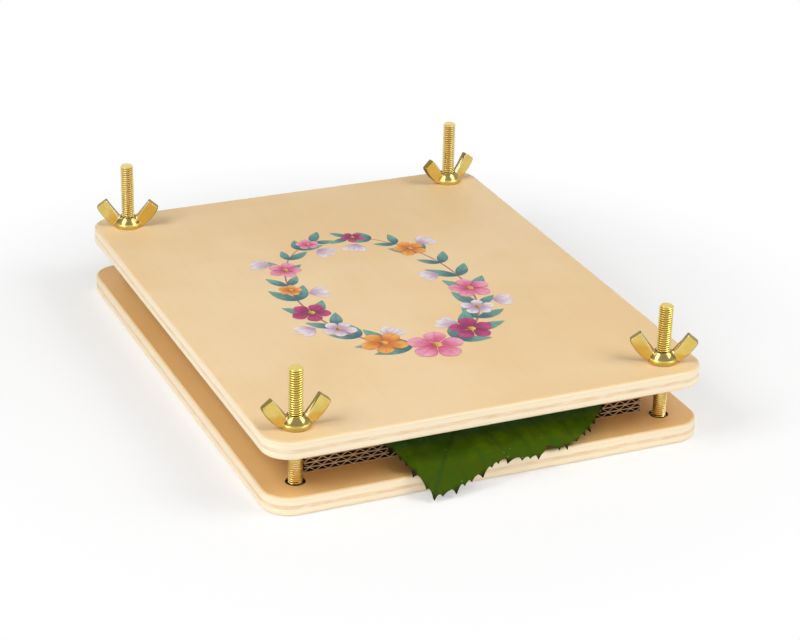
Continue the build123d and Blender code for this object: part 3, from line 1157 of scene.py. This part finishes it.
def make_card(stack):
    """A corrugated sheet with its underside at Z = 0: two flat liners and a wavy sheet between them."""
    size = CARD[1] - CARD[0]
    half = size.y / 2
    middle = size.z / 2
    pitch = stack.flute_pitch
    waves = ceil(size.x / pitch) + 2
    room = middle - stack.liner - stack.flute_wall / 2
    rows = 24
    crisp = 0.97
    zigzag = 0.86

    def gather(y):
        """Brings the rows of the grid next to the cut ends close to them."""
        end = half - 0.7 * MM
        return y if abs(y) > half - MM else max(-end, min(end, 1.1 * y))

    def inside(vertex):
        """What lies behind the cut ends."""
        return abs(vertex.co.y) <= half - 0.3 * MM

    def wave(point):
        """Carries a flat grid onto one wave, a zigzag with soft crests."""
        swing = sin(TURN * point.x / pitch)
        flank = zigzag * asin(crisp * swing) / asin(crisp) + (1 - zigzag) * swing
        return Vector((point.x - pitch * (waves - 1) / 2, gather(point.y), middle + room * flank))

    flute = grid("card", 12, rows, pitch, size.y)
    lay(flute, wave)
    modify(
        flute, "ARRAY", count=waves, use_relative_offset=False, use_constant_offset=True,
        constant_offset_displace=(pitch, 0, 0), use_merge_vertices=True, merge_threshold=NEAR,
    )
    modify(flute, "SOLIDIFY", thickness=stack.flute_wall, offset=0)
    for side in (-1, 1):
        slice_off(flute, (side * size.x / 2, 0, 0), (side, 0, 0))
    merge(flute, WELD / 2)
    store(flute, inside=inside)
    liners = []
    for height in (stack.liner / 2, size.z - stack.liner / 2):
        liner = grid("liner", 60, rows, size.x, size.y, (0, 0, height))
        lay(liner, lambda point: Vector((point.x, gather(point.y), point.z)))
        modify(liner, "SOLIDIFY", thickness=stack.liner, offset=0)
        away = abs(height - middle)
        store(liner, inside=lambda vertex: inside(vertex) and abs(vertex.co.z - middle) < away)
        liners.append(liner)
    return join([flute, *liners])


def fray(piece, amount, reach, seed):
    """Makes the cut ends and sides of a sheet a little uneven."""
    edge_x = max(vertex.co.x for vertex in piece.data.vertices)
    edge_y = max(vertex.co.y for vertex in piece.data.vertices)

    def uneven(point):
        at_side = abs(point.x) > edge_x - reach
        at_end = abs(point.y) > edge_y - reach
        drift_x = at_side * amount * wobble(point.y, point.z, 9 * MM, seed)
        drift_y = at_end * amount * wobble(point.x, point.z, 2.5 * MM, seed + 3)
        return point + Vector((min(drift_x, 0), drift_y, 0))

    lay(piece, uneven)


def make_paper(name, stack, base, seed):
    """A slightly cockled blotting paper that lies at a height, its edges soft and uneven."""
    size = PAPER[1] - PAPER[0]
    piece = grid(name, 48, 64, size.x, size.y, (0, 0, base + size.z / 2))

    def cockle(point):
        lift = 0.4 * stack.paper_gap * wobble(point.x, point.y, 30 * MM, seed)
        return point + Vector((0, 0, lift))

    lay(piece, cockle)
    modify(piece, "SOLIDIFY", thickness=size.z - stack.paper_gap, offset=0)
    modify(piece, "BEVEL", width=0.08 * MM, segments=2, limit_method="ANGLE")
    fray(piece, stack.fray, 0.5 * MM, seed)
    smooth(piece, 40)
    return piece


class PRESS_OT_cards(bpy.types.Operator):
    """Makes one corrugated sheet and copies it through the stack"""

    bl_idname = "press.cards"
    bl_label = "Corrugated sheets"

    def execute(self, context):
        stack = context.scene.flower_press.stack
        shades = stack.kraft, stack.kraft_dark, stack.flute_shade
        finish = fibre_finish("Brown card", *shades, (700.0, 120.0, 700.0), 60.0, 0.85)
        pattern = make_card(stack)
        for number, node in enumerate(CARDS):
            flip = pi * (number % 2)
            card = copy_to(pattern, f"fluted_card_{number + 1}", (0, 0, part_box(node)[0].z), flip)
            fray(card, stack.fray, 1 * MM, number)
            smooth(card, 40)
            dress(card, finish, "stack", node)
        bpy.data.objects.remove(pattern)
        return {"FINISHED"}


class PRESS_OT_papers(bpy.types.Operator):
    """Makes the blotting papers, each with its own slightly uneven edges"""

    bl_idname = "press.papers"
    bl_label = "Blotting papers"

    def execute(self, context):
        stack = context.scene.flower_press.stack
        shades = stack.blotting, stack.blotting_dark, stack.blotting_dark
        finish = fibre_finish("Blotting paper", *shades, (1100.0, 900.0, 300.0), 90.0, 0.9)
        for number, node in enumerate(PAPERS):
            paper = make_paper(f"paper_sheet_{number + 1}", stack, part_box(node)[0].z, 20 + number)
            dress(paper, finish, "stack", node)
        return {"FINISHED"}


# Leaf


class Blade:
    """The leaf's outline, droop and veins."""

    def __init__(self, leaf):
        self.leaf = leaf
        self.middle = Vector((leaf.middle_x, CARD[0].y + leaf.middle_depth, 0))
        self.bend = CARD[0].y - leaf.droop_start
        self.base = (LEAF[1].z + PAPER_UNDER_LEAF) / 2
        run = self.bend - BOTTOM[0].y
        drop = PAPER_UNDER_LEAF - BOTTOM[1].z - leaf.board_gap
        self.curve = (run**2 + drop**2) / (2 * drop)
        half = 720
        self.walk = [(-pi, 0.0)]
        last = self.corner(-pi)
        for step in range(1, 2 * half + 1):
            away = pi * (step / half - 1)
            here = self.corner(away)
            self.walk.append((away, self.walk[-1][1] + (here - last).length))
            last = here
        self.around = self.walk[-1][1]
        self.to_tip = self.walk[half][1]
        chance = random.Random(11)
        self.teeth = []
        for tooth in range(leaf.tooth_count):
            great = tooth % leaf.great_tooth_every == 2
            height = leaf.great_tooth_height if great else leaf.tooth_height
            self.teeth.append(height * chance.uniform(0.75, 1.2))

    def reach(self, away):
        """The reach of the blade without teeth, at an angle from its tip."""
        spread, hollow = (self.leaf.tip_right, 1.55) if away > 0 else (self.leaf.tip_left, 1.3)
        return self.leaf.radius + self.leaf.tip_reach * max(0, 1 - abs(away) / spread) ** hollow

    def corner(self, away):
        """A place on the outline without teeth, from the blade's middle."""
        turn = self.leaf.tip_angle + away
        return Vector((cos(turn), sin(turn), 0)) * self.reach(away)

    def angle(self, part):
        """The angle from the tip at a part of the way round the outline, and the way left to the tip."""
        way = part * self.around
        spot = min(len(self.walk) - 1, max(1, bisect_left(self.walk, way, key=lambda pair: pair[1])))
        (first, start), (second, end) = self.walk[spot - 1], self.walk[spot]
        return first + (second - first) * (way - start) / (end - start), way - self.to_tip

    def tooth(self, away, left):
        """A tooth's offset from the outline, steep towards the tip, and its share of a great tooth."""
        leaf = self.leaf
        lean = 0.3
        way = abs(left) / self.around * leaf.tooth_count
        phase = way + lean + 0.2 * sin(1.9 * way)
        part = phase % 1
        rise = (part / lean) ** 1.7 if part < lean else ((1 - part) / (1 - lean)) ** 2.3
        at_stalk = ease(self.around / 2 - abs(left), 0, leaf.stalk_calm)
        at_tip = 0.65 + 0.35 * ease(abs(left), 0, leaf.tip_calm)
        keen = 1.5 if left < 0 else 1.0
        high = self.teeth[int(phase) % len(self.teeth)] * rise * at_tip * keen * at_stalk
        sharp = high / leaf.great_tooth_height
        along = (self.corner(away + 0.004) - self.corner(away - 0.004)).normalized()
        out = Vector((along.y, -along.x, 0))
        hook = ease(abs(left), 0, leaf.hook_start) * (-leaf.tooth_hook if left > 0 else leaf.tooth_hook)
        turn = leaf.tip_angle + away
        notch = leaf.notch_depth * bell(turn - leaf.notch_angle, leaf.notch_width)
        hollow = leaf.hollow_depth * bell(turn - leaf.notch_angle, leaf.hollow_width)
        bay = leaf.bay_depth * bell(turn - leaf.bay_angle, leaf.bay_width)
        return out * (high - notch - hollow - bay) + along * hook * sharp, sharp

    def height(self, x, y):
        """The blade's height over a place: flat in the stack, then bent down over the board's rim."""
        if y > self.bend:
            return self.base
        leaf = self.leaf
        out = min(self.bend - y, 0.97 * self.curve)
        droop = self.curve - sqrt(self.curve**2 - out**2)
        free = ease(out, 0, leaf.ripple_start)
        return self.base - droop + leaf.ripple_height * free * wobble(x, y, leaf.ripple_size, 5.0)

    def vein(self, away, part):
        """How much of a vein runs through a place: the midrib, and the side veins that fork off it."""
        leaf = self.leaf
        reach = self.reach(away) * part
        along = reach * cos(away)
        side = abs(reach * sin(away))
        midrib = bell(side, leaf.midrib_width)
        step = 2 * leaf.radius / leaf.vein_count
        phase = ((along - 0.8 * side) / step) % 1
        branch = bell(min(phase, 1 - phase) * step, leaf.vein_width) * ease(side, 0, 2 * leaf.midrib_width)
        return max(midrib, 0.8 * branch * (1 - 0.35 * part))


def make_leaf(leaf):
    """A serrate blade that lies flat among the papers and droops over the front of the press."""
    blade = Blade(leaf)
    piece = grid("serrate_leaf", 1092, 36)
    veins = []
    rims = []
    droops = []

    def place(point):
        """Carries the grid's columns round the outline and its rows from the middle to the teeth."""
        away, left = blade.angle(point.x + 0.5)
        part = 1 - (0.5 - point.y) ** 1.5
        tooth, sharp = blade.tooth(away, left)
        spot = blade.middle + blade.corner(away) * part + tooth * ease(part, 0.86, 1) ** 1.5
        keen = min(1, sharp)
        margin = 0.02 + 0.04 * keen
        veins.append(blade.vein(away, part))
        rims.append((0.3 + 0.7 * keen) * ease(part, 1 - margin, 1))
        # droop carries the painted shade of the fold and the tip
        droops.append(ease(blade.bend - spot.y, 0, leaf.droop_reach))
        spot.z = blade.height(spot.x, spot.y) - leaf.vein_height * veins[-1]
        return spot

    lay(piece, place)
    keep(piece, vein=veins, rim=rims, droop=droops)
    merge(piece, 2 * WELD)
    modify(piece, "SOLIDIFY", thickness=leaf.thickness, offset=0)
    merge(piece, WELD / 5)
    smooth(piece, 60)
    return piece


class PRESS_OT_leaf(bpy.types.Operator):
    """Makes the serrate leaf that hangs out of the stack"""

    bl_idname = "press.leaf"
    bl_label = "Leaf"

    def execute(self, context):
        leaf = context.scene.flower_press.leaf
        dress(make_leaf(leaf), leaf_finish(leaf), "stack", "leaf_specimen")
        return {"FINISHED"}


# Printed wreath


def make_shape(name, profile, steps=12, curl=0.0):
    """A flat shape one unit long along X, as wide as its profile says, its midline curling aside."""
    piece = grid(name, steps, 6)
    along = []
    across = []

    def place(point):
        part = point.x + 0.5
        side = 2 * point.y
        along.append(part)
        across.append(abs(side))
        return Vector((part, profile(part) * side + curl * part * part, 0))

    lay(piece, place)
    keep(piece, along=along, across=across)
    merge(piece, solid=False)
    return piece


class Wreath:
    """Places printed shapes along an oval and keeps them in layers."""

    def __init__(self, wreath):
        self.wreath = wreath
        self.chance = random.Random(7)
        self.pieces = []
        self.base = TOP[1].z
        self.inks = {"stem": ink_finish("Ink, stems", wreath.stem, wreath.stem)}
        blooms = ("rose", "plum", "amber", "lilac")
        for ink, plural in (("leaf", "leaves"), *zip(blooms, blooms), ("eye", "eyes")):
            heart = getattr(wreath, f"{ink}_heart")
            tip = getattr(wreath, f"{ink}_tip")
            self.inks[ink] = ink_finish(f"Ink, {plural}", heart, tip)
        self.shapes = {
            "leaf": make_shape("leaf_shape", lambda u: 0.19 * sin(pi * u**0.85) ** 0.9, curl=0.12),
            "petal": make_shape("petal_shape", lambda u: 0.42 * sin(pi * (0.06 + 0.94 * u) ** 1.5) ** 0.7),
            "bud": make_shape("bud_shape", lambda u: 0.26 * sin(pi * u**1.25) ** 0.8),
            "eye": make_shape("eye_shape", lambda u: sqrt(max(0, u * (1 - u)))),
        }

    def stamp(self, shape, ink, place, turn, size, layer, flip=1):
        """One printed shape: its foot at a place in plan, in a layer of its own."""
        at = (place.x, place.y, self.base + (1 + layer) * self.wreath.film)
        piece = copy_to(self.shapes[shape], "print", at, turn, (size, size * flip, 1))
        paint(piece, self.inks[ink])
        self.pieces.append(piece)

    def oval(self, around):
        """A place on the oval and the direction along it."""
        wreath = self.wreath
        place = Vector((wreath.half_width * cos(around), wreath.half_length * sin(around), 0))
        way = atan2(wreath.half_length * cos(around), -wreath.half_width * sin(around))
        return place, way

    def stem(self, start, end):
        """A stem along a stretch of the oval, tapering to its end."""
        wreath = self.wreath
        piece = make_shape("print", lambda u: 0.5 * wreath.stem_width * (1 - 0.7 * u), steps=60)

        def follow(point):
            place, way = self.oval(start + (end - start) * point.x)
            out = Vector((-sin(way), cos(way), 0))
            return place + out * point.y + Vector((0, 0, self.base + wreath.film))

        lay(piece, follow)
        paint(piece, self.inks["stem"])
        self.pieces.append(piece)

    def blossom(self, ink, place, size, turn, petals=5, layer=8):
        """A round blossom of like petals with an eye."""
        for petal in range(petals):
            way = turn + petal * TURN / petals
            foot = place + Vector((cos(way), sin(way), 0)) * 0.12 * size
            self.stamp("petal", ink, foot, way, size * self.chance.uniform(0.92, 1.06), layer + petal)
        eye = 0.42 * size
        self.stamp("eye", "eye", place - Vector((eye / 2, 0, 0)), 0, eye, layer + petals)

    def finish(self):
        """All the printed shapes as one piece with a thin body."""
        for shape in self.shapes.values():
            bpy.data.objects.remove(shape)
        piece = join(self.pieces)
        name_piece(piece, "wreath_print")
        modify(piece, "SOLIDIFY", thickness=0.8 * self.wreath.film, offset=-1)
        merge(piece)
        return piece


def make_wreath(wreath):
    """Two leafy stems that bend round an oval from the front, with blossoms and buds."""
    garland = Wreath(wreath)
    foot = -pi / 2
    parting = radians(0.5)
    reach = pi - wreath.gap
    for side in (-1, 1):
        garland.stem(foot + side * parting, foot + side * reach)
        for step in range(1, wreath.leaf_pairs + 1):
            part = step / wreath.leaf_pairs
            place, way = garland.oval(foot + side * reach * part)
            way += pi if side < 0 else 0
            for hand in (-1, 1):
                size = wreath.leaf_length * garland.chance.uniform(0.75, 1.1) * (1 - 0.35 * part)
                lean = hand * radians(garland.chance.uniform(34, 52))
                layer = 1 + (step + (hand > 0)) % 4
                garland.stamp("leaf", "leaf", place, way + lean, size, layer, flip=-hand)
        for step in range(wreath.bud_count):
            place, way = garland.oval(foot + side * reach * (0.2 + 0.19 * step))
            out = way + (-pi / 2 if step % 2 else pi / 2)
            place += Vector((cos(out), sin(out), 0)) * wreath.bud_stalk
            for layer, lean in enumerate((-0.5, 0.5, 0.0)):
                garland.stamp("bud", "lilac", place, out + lean, 0.85 * wreath.petal_length, 5 + layer)
    blossoms = (
        ("rose", -90, 1.0), ("amber", -122, 0.8), ("plum", -58, 0.8), ("plum", -168, 0.72),
        ("rose", -12, 0.76), ("rose", 146, 0.62), ("amber", 38, 0.62), ("amber", 168, 0.45),
        ("plum", 74, 0.46), ("lilac", -32, 0.6), ("lilac", -148, 0.6), ("rose", 108, 0.44),
    )
    for number, (ink, around, size) in enumerate(blossoms):
        place = garland.oval(radians(around))[0]
        garland.blossom(ink, place, size * wreath.petal_length, number * 0.7)
    return garland.finish()


class PRESS_OT_wreath(bpy.types.Operator):
    """Prints a wreath of simple blossoms on the top board"""

    bl_idname = "press.wreath"
    bl_label = "Printed wreath"

    def execute(self, context):
        dress(make_wreath(context.scene.flower_press.wreath), None, "top_board")
        return {"FINISHED"}


# Stage


def add_light(name, place, target, size, watts, mirrored):
    """A soft light that looks at a point, and that metal mirrors or not."""
    lamp = bpy.data.lights.new(name, "AREA")
    lamp.shape = "RECTANGLE"
    lamp.size, lamp.size_y = size
    lamp.energy = watts
    light = bpy.data.objects.new(name, lamp)
    bpy.context.scene.collection.objects.link(light)
    light.location = place
    light.rotation_euler = (Vector(target) - Vector(place)).to_track_quat("-Z", "Y").to_euler()
    light.visible_glossy = mirrored


def sight(tree):
    """Whether a ray is what the camera, metal or glass sees, and not light on the press."""
    path = tree.add("ShaderNodeLightPath").outputs
    mirrored = tree.math("MAXIMUM", path["Is Glossy Ray"], path["Is Transmission Ray"])
    return tree.math("MAXIMUM", path["Is Camera Ray"], mirrored)


def floor_finish(stage):
    """A pale floor that keeps the shadow near the press and is as white as the backdrop further off."""
    material, tree = new_material("Floor")
    place = tree.place()
    away = tree.add("ShaderNodeVectorMath", {0: place}, operation="LENGTH").outputs["Value"]
    far = tree.ramp(away, stage.floor_near, stage.floor_far, stage.floor_lift, 1.0)
    seen = tree.times(far, sight(tree))
    matt = tree.add("ShaderNodeBsdfDiffuse", {"Color": rgba(stage.floor)})
    white = tree.add("ShaderNodeEmission", {"Color": (1, 1, 1, 1), "Strength": 1.0})
    blend = tree.add("ShaderNodeMixShader", {0: seen, 1: matt.outputs[0], 2: white.outputs[0]})
    tree.add("ShaderNodeOutputMaterial", {"Surface": blend.outputs[0]})
    return material


def set_world(stage):
    """A white backdrop for what sees it, and an even light on the press."""
    world = bpy.data.worlds.new("Studio")
    bpy.context.scene.world = world
    world.use_nodes = True
    tree = Tree(world.node_tree)
    even = tree.add("ShaderNodeBackground", {"Color": (1, 1, 1, 1), "Strength": stage.sky})
    white = tree.add("ShaderNodeBackground", {"Color": (1, 1, 1, 1), "Strength": 1.0})
    blend = tree.add("ShaderNodeMixShader", {0: sight(tree), 1: even.outputs[0], 2: white.outputs[0]})
    tree.add("ShaderNodeOutputWorld", {"Surface": blend.outputs[0]})


def set_camera(stage):
    """The camera, from its place and its three angles."""
    turn, rise, roll = stage.azimuth, stage.elevation, stage.roll
    back = Vector((sin(turn) * cos(rise), -cos(turn) * cos(rise), sin(rise)))
    level = Vector((0, 0, 1)).cross(back).normalized()
    upright = back.cross(level)
    right = level * cos(roll) + upright * sin(roll)
    up = upright * cos(roll) - level * sin(roll)
    lens = bpy.data.cameras.new("Camera")
    lens.lens = stage.lens
    lens.sensor_width = stage.sensor
    lens.clip_start = 0.01
    camera = bpy.data.objects.new("Camera", lens)
    bpy.context.scene.collection.objects.link(camera)
    axes = Matrix((right, up, back)).transposed().to_4x4()
    camera.matrix_world = Matrix.Translation(stage.camera_place) @ axes
    bpy.context.scene.camera = camera


class PRESS_OT_stage(bpy.types.Operator):
    """Sets the floor, the backdrop, the lights and the camera"""

    bl_idname = "press.stage"
    bl_label = "Stage"

    def execute(self, context):
        stage = context.scene.flower_press.stage
        floor = add("floor", bpy.ops.mesh.primitive_plane_add, size=stage.floor_size)
        paint(floor, floor_finish(stage))
        set_world(stage)
        lights = (
            ("left", (-0.58, -0.08, 0.60), (-0.05, 0, 0.02), (0.4, 0.44), True),
            ("right", (0.47, -0.35, 0.60), (0.05, 0, 0.02), (0.4, 0.44), True),
            ("top", (0.0, 0.05, 0.95), (0, 0, 0), (0.9, 0.9), False),
            ("front", (-0.45, -1.1, 0.26), (0, 0, 0.02), (0.9, 0.3), False),
        )
        for side, place, target, size, mirrored in lights:
            watts = getattr(stage, f"{side}_power")
            add_light(f"{side}_light", place, target, size, watts, mirrored)
        set_camera(stage)
        context.scene.view_settings.view_transform = "Standard"
        return {"FINISHED"}


# Panel and start


class PRESS_PT_panel(bpy.types.Panel):
    """Lists the steps and the settings of the press"""

    bl_idname = "PRESS_PT_panel"
    bl_label = "Flower press"
    bl_space_type = "VIEW_3D"
    bl_region_type = "UI"
    bl_category = "Flower press"

    def draw(self, context):
        for step in STEPS:
            self.layout.operator(step.bl_idname)
        settings = context.scene.flower_press
        for group in settings.__annotations__:
            column = self.layout.column(heading=group)
            values = getattr(settings, group)
            for name in values.__annotations__:
                column.prop(values, name)


GROUPS = (PressBoards, PressHardware, PressStack, PressLeaf, PressPrint, PressStage, PressSettings)
STEPS = (
    PRESS_OT_stage, PRESS_OT_boards, PRESS_OT_bolts, PRESS_OT_wing_nuts, PRESS_OT_cards, PRESS_OT_papers,
    PRESS_OT_leaf, PRESS_OT_wreath,
)
CLASSES = (*GROUPS, *STEPS, PRESS_PT_panel)


def register():
    """Registers the classes and hangs the settings on the scene."""
    for item in CLASSES:
        bpy.utils.register_class(item)
    bpy.types.Scene.flower_press = PointerProperty(type=PressSettings)


def unregister():
    """Takes the settings and the classes away again."""
    del bpy.types.Scene.flower_press
    for item in reversed(CLASSES):
        bpy.utils.unregister_class(item)


def main():
    """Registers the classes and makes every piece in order."""
    register()
    bpy.ops.press.stage()
    bpy.ops.press.boards()
    bpy.ops.press.bolts()
    bpy.ops.press.wing_nuts()
    bpy.ops.press.cards()
    bpy.ops.press.papers()
    bpy.ops.press.leaf()
    bpy.ops.press.wreath()


if __name__ == "__main__":
    main()
